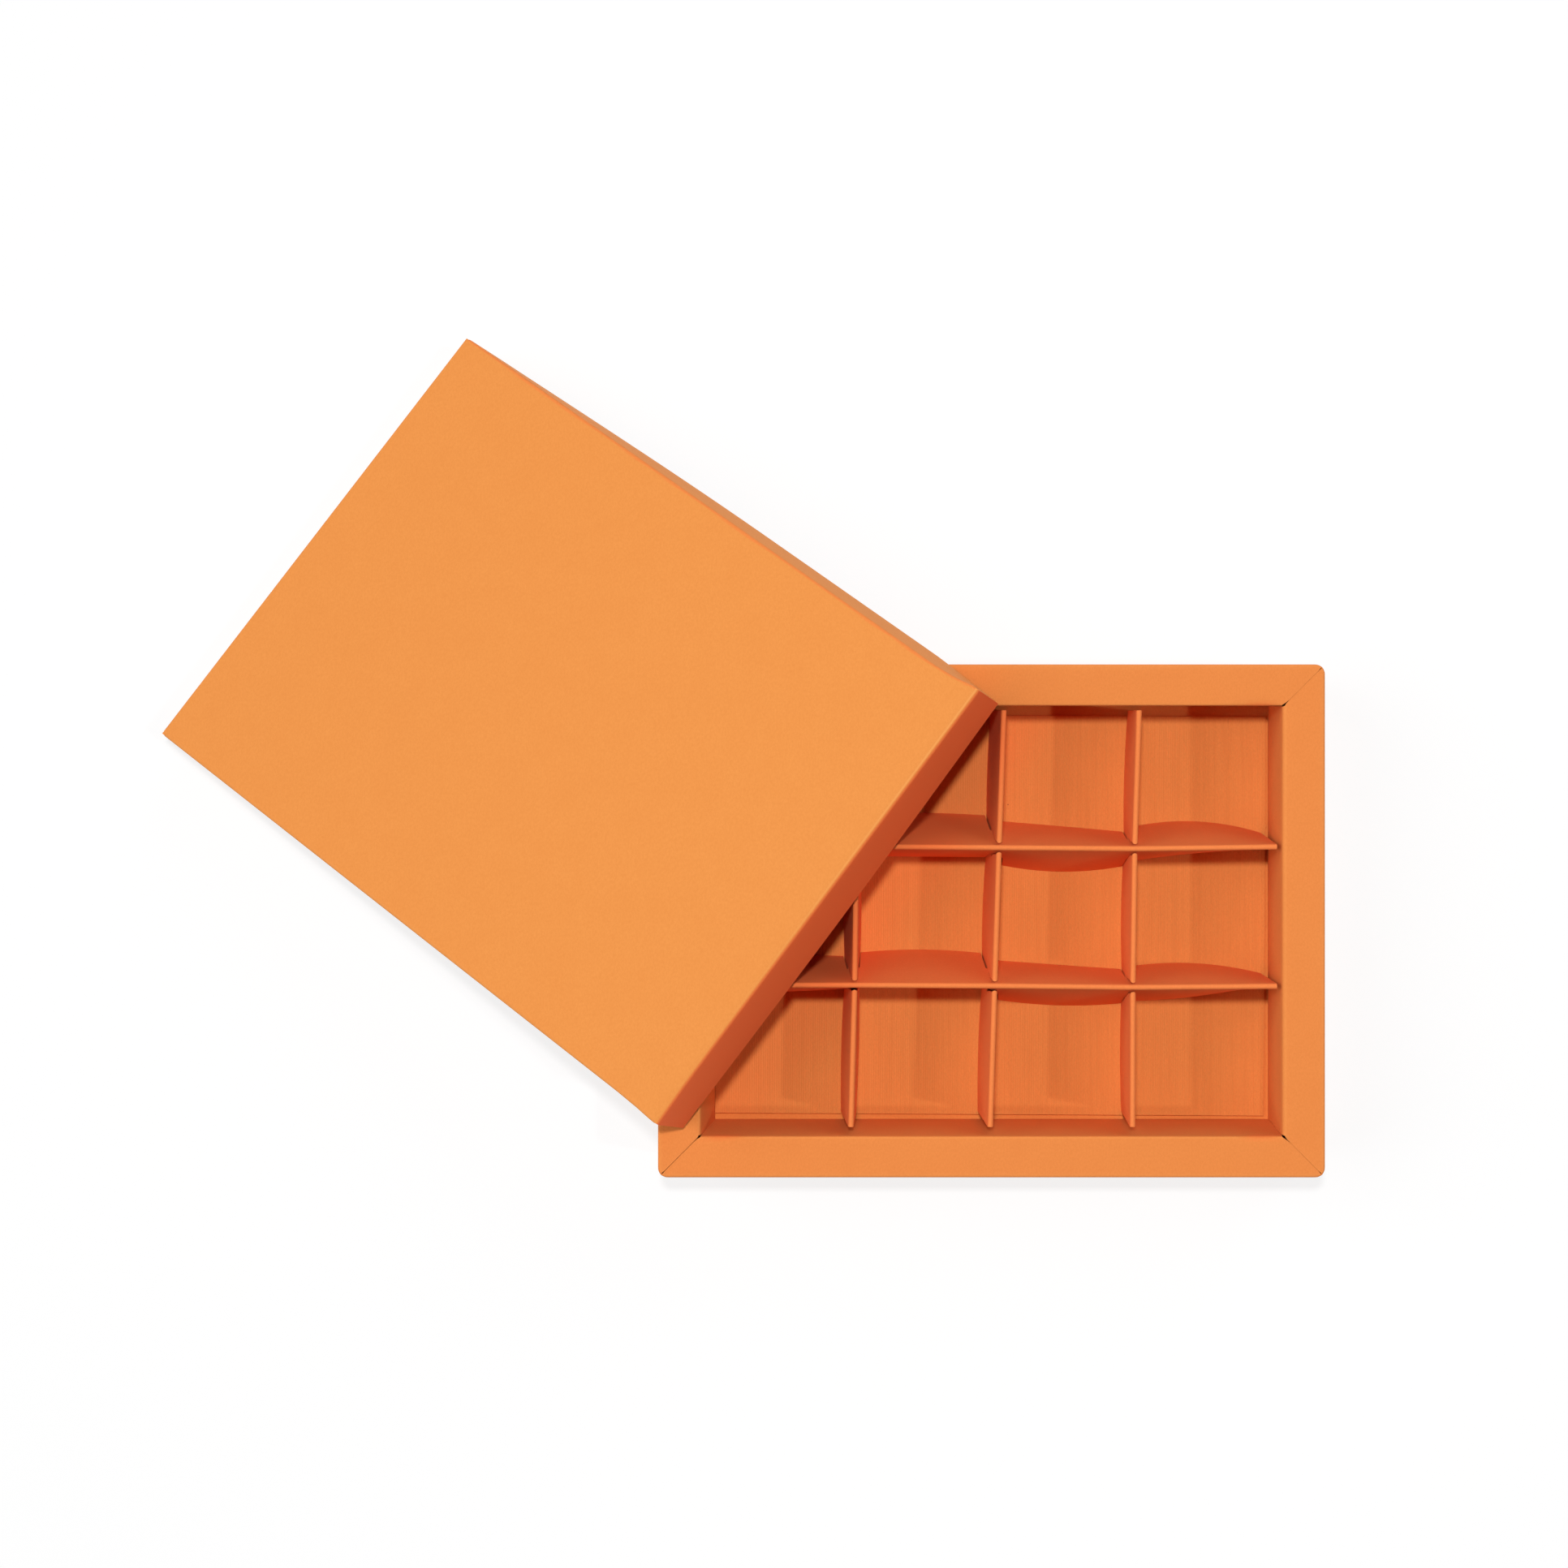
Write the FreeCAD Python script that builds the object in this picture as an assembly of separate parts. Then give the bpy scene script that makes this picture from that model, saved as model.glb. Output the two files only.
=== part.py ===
import FreeCAD, Part
import math
import os

# Folding-carton chocolate box: a tray with hollow double walls, a loose floor pad, a crate of
# interlocking dividers and a shallow lid that leans on the tray. Millimetres, +Z up.
# The origin is the middle of the tray's underside, +X along its length, +Y to its back.

Vector = FreeCAD.Vector

# Board
board = 0.4

# Base tray
base_length = 182.0
base_width = 140.0
base_height = 35.0
base_corner_radius = 2.7
ledge_width = 11.6
mitre_notch = 1.3

# Floor pad
pad_thickness = 1.2
pad_clearance = 0.8

# Dividers: strips folded double, named with how far each stands off its even place
long_shifts = {"front": 1.9, "back": 0.4}
cross_shifts = {"left": 1.3, "middle": 0.9, "right": -0.3}
divider_drop = 1.0
divider_end_gap = 1.4
fold_thickness = 1.5
pinch_thickness = 2.2
slot_clearance = 0.25

# How far the leaves bow out at the floor, the long strips' from the left column to the right one
long_bulges_back = (5.0, 5.0, 4.0, 5.5)
long_bulges_front = (1.0, 1.0, 6.0, 1.5)
cross_bulge_left = 2.6
cross_bulge_right = 0.6

# Lid
lid_depth = 18.0
lid_flare = 0.5
lid_corner_radius = 0.9
lid_clearance = 0.2
tab_length = 16.0
tab_rise = 1.5

# Lean of the lid: its far end stands on the ground, its back wall on the tray's back edge
lid_turn = 36.25
lid_rest_from_left = 75.2
lid_overhang = 21.0
seat_gap = 0.3

# Sizes that follow from the ones above
inner_length = base_length - 2 * ledge_width
inner_width = base_width - 2 * ledge_width
columns = len(cross_shifts) + 1
rows = len(long_shifts) + 1
column_width = inner_length / columns
row_width = inner_width / rows
pad_top = board + pad_thickness
divider_top = base_height - divider_drop
divider_height = divider_top - pad_top
slot_middle = pad_top + divider_height / 2
leaf_top = divider_top - fold_thickness
lid_length = base_length + 2 * (lid_clearance + 2 * board)
lid_width = base_width + 2 * (lid_clearance + board)
lid_rim_length = lid_length + 2 * lid_flare
lid_rim_width = lid_width + 2 * lid_flare


def block(low, high):
    """Box between two opposite corners."""
    size = high - low
    return Part.makeBox(size.x, size.y, size.z, low)


def slab(length, width, low, high, radius=0.0):
    """Upright block centred on Z, its four upright corners rounded."""
    shape = block(Vector(-length / 2, -width / 2, low), Vector(length / 2, width / 2, high))
    if radius <= 0:
        return shape
    upright = [edge for edge in shape.Edges if abs(edge.tangentAt(edge.FirstParameter).z) > 0.5]
    return shape.makeFillet(radius, upright)


def base_tray():
    """Bottom panel and hollow walls, vented by the notch at the inner end of each mitre."""
    outer = slab(base_length, base_width, 0, base_height, base_corner_radius)
    well = slab(inner_length, inner_width, board, base_height)
    hollow_radius = max(base_corner_radius - board, 0.0)
    hollow = slab(base_length - 2 * board, base_width - 2 * board, board, base_height - board,
                  hollow_radius)
    core = slab(inner_length + 2 * board, inner_width + 2 * board, board, base_height - board)
    shape = outer.cut(well).cut(hollow.cut(core))
    for x in (-inner_length / 2, inner_length / 2):
        for y in (-inner_width / 2, inner_width / 2):
            low = Vector(x - mitre_notch, y - mitre_notch, base_height - board)
            high = Vector(x + mitre_notch, y + mitre_notch, base_height)
            shape = shape.cut(block(low, high))
    return shape


def floor_pad():
    """Loose card on the bottom panel."""
    length = inner_length - 2 * pad_clearance
    width = inner_width - 2 * pad_clearance
    return slab(length, width, board, pad_top)


def leaf(start, end, side, bulge):
    """One leaf of a folded strip in one cell: straight at the fold, bowed out at the floor."""
    fold_outer = side * fold_thickness / 2
    fold_inner = fold_outer - side * board
    foot_outer = side * pinch_thickness / 2
    foot_inner = foot_outer - side * board
    middle = (start + end) / 2

    def bowed(y, first, last):
        return Part.Arc(Vector(first, y, pad_top), Vector(middle, y + side * bulge, pad_top),
                        Vector(last, y, pad_top)).toShape()

    def straight(x_1, y_1, x_2, y_2, z):
        return Part.makeLine(Vector(x_1, y_1, z), Vector(x_2, y_2, z))

    top = Part.Wire([straight(start, fold_outer, end, fold_outer, leaf_top),
                     straight(end, fold_outer, end, fold_inner, leaf_top),
                     straight(end, fold_inner, start, fold_inner, leaf_top),
                     straight(start, fold_inner, start, fold_outer, leaf_top)])
    foot = Part.Wire([bowed(foot_outer, start, end),
                      straight(end, foot_outer, end, foot_inner, pad_top),
                      bowed(foot_inner, end, start),
                      straight(start, foot_inner, start, foot_outer, pad_top)])
    return Part.makeLoft([top, foot], True, True)


def fold_bar(length):
    """Rounded fold along the top of a strip."""
    radius = fold_thickness / 2
    bar = block(Vector(-length / 2, -radius, leaf_top), Vector(length / 2, radius, divider_top - radius))
    crown = Part.makeCylinder(radius, length, Vector(-length / 2, 0, divider_top - radius), Vector(1, 0, 0))
    return bar.fuse(crown)


def strip(length, crossings, bulges_left, bulges_right):
    """Folded strip along X; cell by cell its left leaf bows to +Y and its right leaf to -Y."""
    stations = [-length / 2, *crossings, length / 2]
    pieces = []
    for start, end, left, right in zip(stations, stations[1:], bulges_left, bulges_right):
        pieces.append(leaf(start, end, 1, left))
        pieces.append(leaf(start, end, -1, right))
    return fold_bar(length).multiFuse(pieces).removeSplitter()


def bow_slope(bulge, cell):
    """Slope of a bowed leaf where it leaves a crossing: the tangent of its arc there."""
    return math.tan(2 * math.atan(2 * bulge / cell))


def slot_half(own_bulge, own_cell, other_bulge, other_cell):
    """Half width of a slot that clears the strip passing through it, bow included."""
    own_slope = bow_slope(own_bulge, own_cell)
    other_slope = bow_slope(other_bulge, other_cell)
    reach = pinch_thickness / 2 * (1 + other_slope) + slot_clearance
    return reach / (1 - own_slope * other_slope)


def strip_places(pitch, shifts):
    """Places of the strips between even cells, each with its own shift."""
    first = -pitch * (len(shifts) - 1) / 2
    return {name: first + index * pitch + shifts[name] for index, name in enumerate(shifts)}


cross_places = strip_places(column_width, cross_shifts)
long_places = strip_places(row_width, long_shifts)
long_bulge = max(long_bulges_back + long_bulges_front)


def long_divider(y):
    """Long strip with slots open at the bottom, over the cross strips."""
    length = inner_length - 2 * divider_end_gap
    shape = strip(length, cross_places.values(), long_bulges_back, long_bulges_front)
    left = slot_half(long_bulge, column_width, cross_bulge_left, row_width)
    right = slot_half(long_bulge, column_width, cross_bulge_right, row_width)
    for x in cross_places.values():
        low = Vector(x - left, -row_width / 2, pad_top - board)
        high = Vector(x + right, row_width / 2, slot_middle + slot_clearance)
        shape = shape.cut(block(low, high))
    shape.translate(Vector(0, y, 0))
    return shape


def cross_divider(x):
    """Cross strip with slots open at the top, under the long strips."""
    length = inner_width - 2 * divider_end_gap
    shape = strip(length, long_places.values(), [cross_bulge_left] * rows, [cross_bulge_right] * rows)
    middle_half = (fold_thickness + pinch_thickness) / 4
    middle_slope = bow_slope(long_bulge, column_width) / 2
    half = middle_half + middle_slope * pinch_thickness / 2 * (1 + middle_slope) + slot_clearance
    for y in long_places.values():
        low = Vector(y - half, -column_width / 2, slot_middle - slot_clearance)
        high = Vector(y + half, column_width / 2, base_height)
        shape = shape.cut(block(low, high))
    shape.rotate(Vector(0, 0, 0), Vector(0, 0, 1), 90)
    shape.translate(Vector(x, 0, 0))
    return shape


def lid_reach(z):
    """How far a flared lid wall stands out at height z above the lid's rim."""
    return lid_flare * (1 - z / lid_depth)


def lid_section(z, inset):
    """Rounded outline of the lid at height z, drawn in by an inset."""
    half_length = lid_length / 2 + lid_reach(z) - inset
    half_width = lid_width / 2 + lid_reach(z) - inset
    radius = max(lid_corner_radius - inset, board / 2)
    flat = radius * (1 - math.sqrt(0.5))
    edges = []
    corners = [(1, 1), (-1, 1), (-1, -1), (1, -1)]
    for index, (sign_x, sign_y) in enumerate(corners):
        before = Vector(sign_x * half_length, sign_y * (half_width - radius), z)
        middle = Vector(sign_x * (half_length - flat), sign_y * (half_width - flat), z)
        after = Vector(sign_x * (half_length - radius), sign_y * half_width, z)
        if index % 2:
            before, after = after, before
        edges.append((before, middle, after))
    outline = []
    for index, (before, middle, after) in enumerate(edges):
        following = edges[(index + 1) % len(edges)][0]
        outline.append(Part.Arc(before, middle, after).toShape())
        outline.append(Part.makeLine(after, following))
    return Part.Wire(outline)


def lid_tab(end, side):
    """Corner tab folded from a long wall and glued inside an end wall."""
    def section(z):
        outer_x = end * (lid_length / 2 + lid_reach(z) - board)
        inner_x = outer_x - end * board
        outer_y = side * (lid_width / 2 + lid_reach(z) - board)
        inner_y = outer_y - side * tab_length
        corners = [Vector(outer_x, outer_y, z), Vector(inner_x, outer_y, z),
                   Vector(inner_x, inner_y, z), Vector(outer_x, inner_y, z)]
        return Part.makePolygon(corners + corners[:1])

    return Part.makeLoft([section(tab_rise), section(lid_depth - board)], True, True)


def lid_placement():
    """Leaning place of the lid, from the middle of its rim plane."""
    turn = math.radians(lid_turn)
    along = Vector(math.cos(turn), -math.sin(turn), 0)
    across = Vector(math.sin(turn), math.cos(turn), 0)
    back_rest = Vector(lid_rest_from_left - base_length / 2, base_width / 2, 0)
    front_line = back_rest - across * lid_rim_width
    front_ahead = (-base_length / 2 - front_line.x) / along.x
    overhang = max(lid_overhang, lid_overhang - front_ahead)
    run = lid_rim_length - overhang
    tilt = math.asin((base_height + seat_gap) / run)
    slope = along * math.cos(tilt) + Vector(0, 0, math.sin(tilt))
    far_edge = back_rest - across * (lid_rim_width / 2) - along * (run * math.cos(tilt))
    rotation = FreeCAD.Rotation(slope, across, slope.cross(across), "XYZ")
    return FreeCAD.Placement(far_edge + slope * (lid_rim_length / 2), rotation)


def lid():
    """Shallow lid with flared walls and glued corner tabs."""
    outer = Part.makeLoft([lid_section(0, 0), lid_section(lid_depth, 0)], True, True)
    ceiling = lid_depth - board
    inner = Part.makeLoft([lid_section(0, board), lid_section(ceiling, board)], True, True)
    tabs = [lid_tab(end, side) for end in (-1, 1) for side in (-1, 1)]
    shape = outer.cut(inner).multiFuse(tabs).removeSplitter()
    shape.Placement = lid_placement()
    return shape


nodes = {"base_tray": base_tray(), "floor_pad": floor_pad(), "lid": lid()}
for name, place in long_places.items():
    nodes[f"long_divider_{name}"] = long_divider(place)
for name, place in cross_places.items():
    nodes[f"cross_divider_{name}"] = cross_divider(place)

os.makedirs("parts", exist_ok=True)
for name, shape in nodes.items():
    shape.exportStep(f"parts/{name}.step")
    print(f"{name}: {len(shape.Solids)} solid, {shape.Volume:.0f} mm3")
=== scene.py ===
"""Chocolate box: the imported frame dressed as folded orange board.

A tray with hollow mitred walls, a ribbed floor card, a crate of folded divider strips and a
shallow lid that leans on the tray. Sizes are millimetres and become metres where a mesh is made.
"""

import logging
import math
from dataclasses import dataclass, field
from enum import Enum
from typing import Any, Callable, Sequence

import bmesh
import bpy
from bpy.types import ID, Material, Mesh, Node, NodeSocket, NodeTree, Object
from mathutils import Matrix, Vector


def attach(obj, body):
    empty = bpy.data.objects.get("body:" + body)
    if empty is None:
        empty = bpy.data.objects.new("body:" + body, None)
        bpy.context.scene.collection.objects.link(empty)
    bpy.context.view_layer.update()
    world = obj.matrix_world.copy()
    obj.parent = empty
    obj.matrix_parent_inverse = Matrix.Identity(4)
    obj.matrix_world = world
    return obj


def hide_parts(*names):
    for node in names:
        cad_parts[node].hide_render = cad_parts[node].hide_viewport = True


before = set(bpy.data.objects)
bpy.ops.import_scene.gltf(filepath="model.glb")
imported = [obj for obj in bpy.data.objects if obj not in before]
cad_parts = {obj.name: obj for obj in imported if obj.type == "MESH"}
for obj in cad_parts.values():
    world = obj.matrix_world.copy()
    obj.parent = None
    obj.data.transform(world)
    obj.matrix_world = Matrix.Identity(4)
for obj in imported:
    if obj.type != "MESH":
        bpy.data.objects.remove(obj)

log = logging.getLogger("chocolate_box")

MM = 0.001
BOARD = 0.4
BASE_HEIGHT = 35.0
PAD_TOP = 1.6
RIB_PITCH = 0.65
WELD = 0.002
# Attribute of pale rubbed folds and painted light: above 0 rubbed pale and a painted highlight, below 0
# painted shade.
WEAR_AND_PAINTED_LIGHT = "wear_and_painted_light"

# Angle in degrees past which an edge stays sharp.
CREASE = 32.0

# Where a fold starts in a wall's section, in degrees; it turns a quarter clockwise from there.
UNDER, OUTER, UPPER = 270.0, 180.0, 90.0
QUARTER = 90.0

# Setting and sockets of a node that mixes two colours.
COLOURS = {"data_type": "RGBA"}
SHARE, BELOW, ABOVE, MIXED = 0, 6, 7, 2

Pair = tuple[float, float]
Triple = tuple[float, float, float]
Sides = tuple[float, float, float, float]
Row = list[tuple[Vector, float]]


def linear(hex_colour: str) -> tuple[float, float, float, float]:
    """Turn an sRGB hex value into a linear colour.

    Args:
        hex_colour: Colour as "#RRGGBB".

    Returns:
        Linear red, green, blue and a full alpha.
    """
    toe, slope, offset, power = 0.04045, 12.92, 0.055, 2.4
    channels = [int(hex_colour[start:start + 2], 16) / 255 for start in (1, 3, 5)]
    red, green, blue = (
        c / slope if c <= toe else ((c + offset) / (1 + offset)) ** power for c in channels)
    return red, green, blue, 1.0


def add_node(
    tree: NodeTree,
    kind: str,
    settings: dict[str, Any] | None = None,
    inputs: dict[str | int, Any] | None = None,
) -> Node:
    """Add a node with its settings and links.

    Args:
        tree: Tree that gets the node.
        kind: Blender's type name of the node.
        settings: Properties of the node by name.
        inputs: Values by input name or number; an output socket given as a value is linked.

    Returns:
        The new node.
    """
    node = tree.nodes.new(kind)
    for name, value in (settings or {}).items():
        setattr(node, name, value)
    for name, value in (inputs or {}).items():
        if isinstance(value, NodeSocket):
            tree.links.new(value, node.inputs[name])
        else:
            node.inputs[name].default_value = value
    return node


def empty_tree(owner: ID) -> NodeTree:
    """Give a material, lamp or world a tree with no nodes yet.

    Args:
        owner: What the tree is for.

    Returns:
        The tree.
    """
    owner.use_nodes = True
    owner.node_tree.nodes.clear()
    return owner.node_tree


def in_scene(name: str, data: ID) -> Object:
    """Put a mesh, lamp or camera into the scene.

    Args:
        name: Name of the object.
        data: What it shows.

    Returns:
        The object, at the origin.
    """
    made = bpy.data.objects.new(name, data)
    bpy.context.scene.collection.objects.link(made)
    return made


def smooth_step(low: float, high: float, value: float) -> float:
    """Ease from 0 at a low value to 1 at a high one."""
    share = min(max((value - low) / (high - low), 0.0), 1.0)
    return share * share * (3 - 2 * share)


def spread(low: float, high: float, middle: int = 24) -> list[float]:
    """Places between two ends, close together near the ends.

    Args:
        low: First place.
        high: Last place.
        middle: Number of even steps between the two ends' own steps.

    Returns:
        The places in order.
    """
    edge_steps = (0.0, 0.4, 0.9, 1.5, 2.1, 2.8, 4.2, 7.0)
    near = [low + step for step in edge_steps]
    far = [high - step for step in reversed(edge_steps)]
    pitch = (far[0] - near[-1]) / middle
    return near + [near[-1] + pitch * step for step in range(1, middle)] + far


def arc(centre: Pair, radius: float, start: float, steps: int) -> list[Pair]:
    """Depths and heights along a fold of a wall's section, without the first one."""
    angles = [math.radians(start - QUARTER * step / steps) for step in range(1, steps + 1)]
    return [(centre[0] + radius * math.cos(a), centre[1] + radius * math.sin(a)) for a in angles]


def straight(start: Pair, end: Pair, steps: int) -> list[Pair]:
    """Depths and heights along a straight stretch of a wall's section, without the first one."""
    shares = [step / steps for step in range(1, steps + 1)]
    return [(start[0] + (end[0] - start[0]) * s, start[1] + (end[1] - start[1]) * s) for s in shares]


class Tone(Enum):
    """Colours of the dyed board, as sRGB hex."""

    LID_FACE = "#EC9547"
    LID_SHADE = "#E48A3D"
    TRAY_FACE = "#EA8A42"
    TRAY_SHADE = "#E17F39"
    STRIP_FACE = "#F48242"
    STRIP_SHADE = "#EB783A"
    CARD_FACE = "#E58C45"
    CARD_SHADE = "#D7803C"
    # Painted shade: a deeper red laid where shade falls on the board.
    PAINTED_SHADE = "#F56E34"
    CARD_SPECK = "#8A3A1C"
    # Pale tone of rubbed folds; also laid as a painted highlight along the crest of the lid's raised end.
    RUBBED_AND_HIGHLIGHT = "#F2A155"
    BACKDROP = "#FFFFFF"

    @property
    def colour(self) -> tuple[float, float, float, float]:
        """The tone as a linear colour."""
        return linear(self.value)


@dataclass(frozen=True)
class Pattern:
    """Noise of a real size in a finish, which shades the colour between two limits of its height."""

    size: float
    detail: float
    limits: Pair
    strength: float
    lay: Triple = (1.0, 1.0, 1.0)
    raggedness: float = 0.5

    def height(self, tree: NodeTree, place: NodeSocket) -> NodeSocket:
        """Height of the noise, from 0 to 1, on Object coordinates."""
        lay = add_node(tree, "ShaderNodeMapping", inputs={"Vector": place, "Scale": self.lay})
        return add_node(tree, "ShaderNodeTexNoise", inputs={
            "Vector": lay.outputs["Vector"], "Scale": 1 / (self.size * MM),
            "Detail": self.detail, "Roughness": self.raggedness}).outputs["Fac"]

    def over(self, tree: NodeTree, height: NodeSocket, colour: Any, shade: Tone) -> NodeSocket:
        """Lay a shade over a colour where the noise is high.

        Args:
            tree: The material's tree.
            height: Height of the noise.
            colour: The colour or its socket.
            shade: The shade.

        Returns:
            The new colour's socket.
        """
        low, high = self.limits
        share = add_node(tree, "ShaderNodeMapRange", inputs={
            "Value": height, "From Min": low, "From Max": high, "To Max": self.strength})
        return add_node(tree, "ShaderNodeMix", COLOURS, {
            SHARE: share.outputs["Result"], BELOW: colour, ABOVE: shade.colour}).outputs[MIXED]


@dataclass(frozen=True)
class BoardFinish:
    """Uncoated paperboard dyed right through: dead matt, with a short fibre grain.

    It is paler on rubbed folds and has a painted highlight along the crest of the lid's raised end.
    Painted shade, a deeper red, lies on that end's wall, the lid's back fold, the tray's rim dents and,
    by a share, near the leaning lid.
    """

    name: str
    face: Tone
    shade: Tone
    # Share of painted shade laid near the leaning lid; the next two fields place its band.
    near_lid_shade: float = 0.0
    lid_shade_across: Triple = (0.804, -0.595, 0.0)
    lid_shade_edge: Pair = (-27.0, -11.0)
    clouds: Pattern = Pattern(size=8.0, detail=2.0, limits=(0.35, 0.75), strength=0.2)
    # Real fibres are finer: these are as coarse as they need to be to show in the render.
    fibres: Pattern = Pattern(
        size=0.45, detail=3.0, limits=(0.35, 0.65), strength=0.6, lay=(1.0, 0.6, 0.8), raggedness=0.6)
    relief: float = 0.03
    relief_strength: float = 0.5
    roughness: float = 0.88
    specular: float = 0.4

    def tone(self, tree: NodeTree, place: NodeSocket, grain: NodeSocket) -> NodeSocket:
        """Colour of the dyed board: soft clouds of two shades under a fine fibre grain."""
        clouded = self.clouds.over(tree, self.clouds.height(tree, place), self.face.colour, self.shade)
        return self.fibres.over(tree, grain, clouded, self.shade)

    def depth(self, tree: NodeTree, place: NodeSocket, wear_and_painted_light: NodeSocket) -> NodeSocket:
        """How much painted shade to lay: where the board's attribute is below 0, and near the leaning
        lid.

        Args:
            tree: The material's tree.
            place: Object coordinates.
            wear_and_painted_light: Rubbed paleness and painted light of the board.

        Returns:
            Socket that is 1 where the painted shade is strongest.
        """
        painted_shade = add_node(tree, "ShaderNodeMath", {"operation": "MULTIPLY"}, {0: wear_and_painted_light, 1: -1.0})
        away = add_node(tree, "ShaderNodeVectorMath", {"operation": "DOT_PRODUCT"}, {
            0: place, 1: self.lid_shade_across})
        full_shade_edge, no_shade_edge = self.lid_shade_edge
        lid_shaded = add_node(tree, "ShaderNodeMapRange", {"interpolation_type": "SMOOTHSTEP"}, {
            "Value": away.outputs["Value"], "From Min": full_shade_edge * MM, "From Max": no_shade_edge * MM,
            "To Min": self.near_lid_shade, "To Max": 0.0})
        return add_node(tree, "ShaderNodeMath", {"operation": "MAXIMUM"}, {
            0: painted_shade.outputs[0], 1: lid_shaded.outputs["Result"]}).outputs[0]

    def material(self) -> Material:
        """Build the finish as a material.

        Returns:
            The material, on Object coordinates and the board's rubbed paleness and painted light.
        """
        made = bpy.data.materials.new(self.name)
        tree = empty_tree(made)
        place = add_node(tree, "ShaderNodeTexCoord").outputs["Object"]
        wear_and_painted_light = add_node(tree, "ShaderNodeAttribute", {"attribute_name": WEAR_AND_PAINTED_LIGHT}).outputs["Fac"]
        grain = self.fibres.height(tree, place)
        # Painted shade as a deeper red where the attribute is below 0 and near the lid, then the pale
        # rubbed tone, which also serves as a painted highlight.
        shade_mix = add_node(tree, "ShaderNodeMix", COLOURS, {
            SHARE: self.depth(tree, place, wear_and_painted_light), BELOW: self.tone(tree, place, grain),
            ABOVE: Tone.PAINTED_SHADE.colour})
        rubbed = add_node(tree, "ShaderNodeMix", COLOURS, {
            SHARE: wear_and_painted_light, BELOW: shade_mix.outputs[MIXED], ABOVE: Tone.RUBBED_AND_HIGHLIGHT.colour})
        bump = add_node(tree, "ShaderNodeBump", inputs={
            "Strength": self.relief_strength, "Distance": self.relief * MM, "Height": grain})
        board = add_node(tree, "ShaderNodeBsdfPrincipled", inputs={
            "Base Color": rubbed.outputs[MIXED], "Roughness": self.roughness,
            "Specular IOR Level": self.specular, "Normal": bump.outputs["Normal"]})
        add_node(tree, "ShaderNodeOutputMaterial", inputs={"Surface": board.outputs["BSDF"]})
        return made


@dataclass(frozen=True)
class CardFinish(BoardFinish):
    """Rough card: the board's dye, streaked along its ribs, with a few dark specks."""

    streaks: Pattern = Pattern(
        size=RIB_PITCH, detail=1.0, limits=(0.4, 0.7), strength=0.45, lay=(1.0, 0.02, 1.0))
    speck_pitch: float = 14.0
    speck_size: float = 0.32

    def tone(self, tree: NodeTree, place: NodeSocket, grain: NodeSocket) -> NodeSocket:
        """Board colour, streaked along the ribs and specked here and there.

        Args:
            tree: The material's tree.
            place: Object coordinates.
            grain: Height of the grain.

        Returns:
            The colour's socket.
        """
        board = super().tone(tree, place, grain)
        streaked = self.streaks.over(tree, self.streaks.height(tree, place), board, self.shade)
        cells = add_node(tree, "ShaderNodeTexVoronoi", inputs={
            "Vector": place, "Scale": 1 / (self.speck_pitch * MM)})
        speck = add_node(tree, "ShaderNodeMath", {"operation": "LESS_THAN"}, {
            0: cells.outputs["Distance"], 1: self.speck_size / self.speck_pitch / 2})
        return add_node(tree, "ShaderNodeMix", COLOURS, {
            SHARE: speck.outputs["Value"], BELOW: streaked, ABOVE: Tone.CARD_SPECK.colour}).outputs[MIXED]


def net_mesh(net: bmesh.types.BMesh, name: str) -> Mesh:
    """Turn a net of faces into a mesh.

    Args:
        net: The net, which is freed.
        name: Name of the mesh.

    Returns:
        The mesh.
    """
    mesh = bpy.data.meshes.new(name)
    net.to_mesh(mesh)
    net.free()
    return mesh


def plain_mesh(piece: Object) -> Mesh:
    """Take a piece's evaluated shape as a plain mesh.

    Args:
        piece: Object with its modifiers, which is removed with them.

    Returns:
        A new mesh with the modifiers in it.
    """
    bpy.context.view_layer.update()
    graph = bpy.context.evaluated_depsgraph_get()
    mesh = bpy.data.meshes.new_from_object(piece.evaluated_get(graph), depsgraph=graph)
    piece.modifiers.clear()
    bpy.data.objects.remove(piece)
    return mesh


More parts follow.
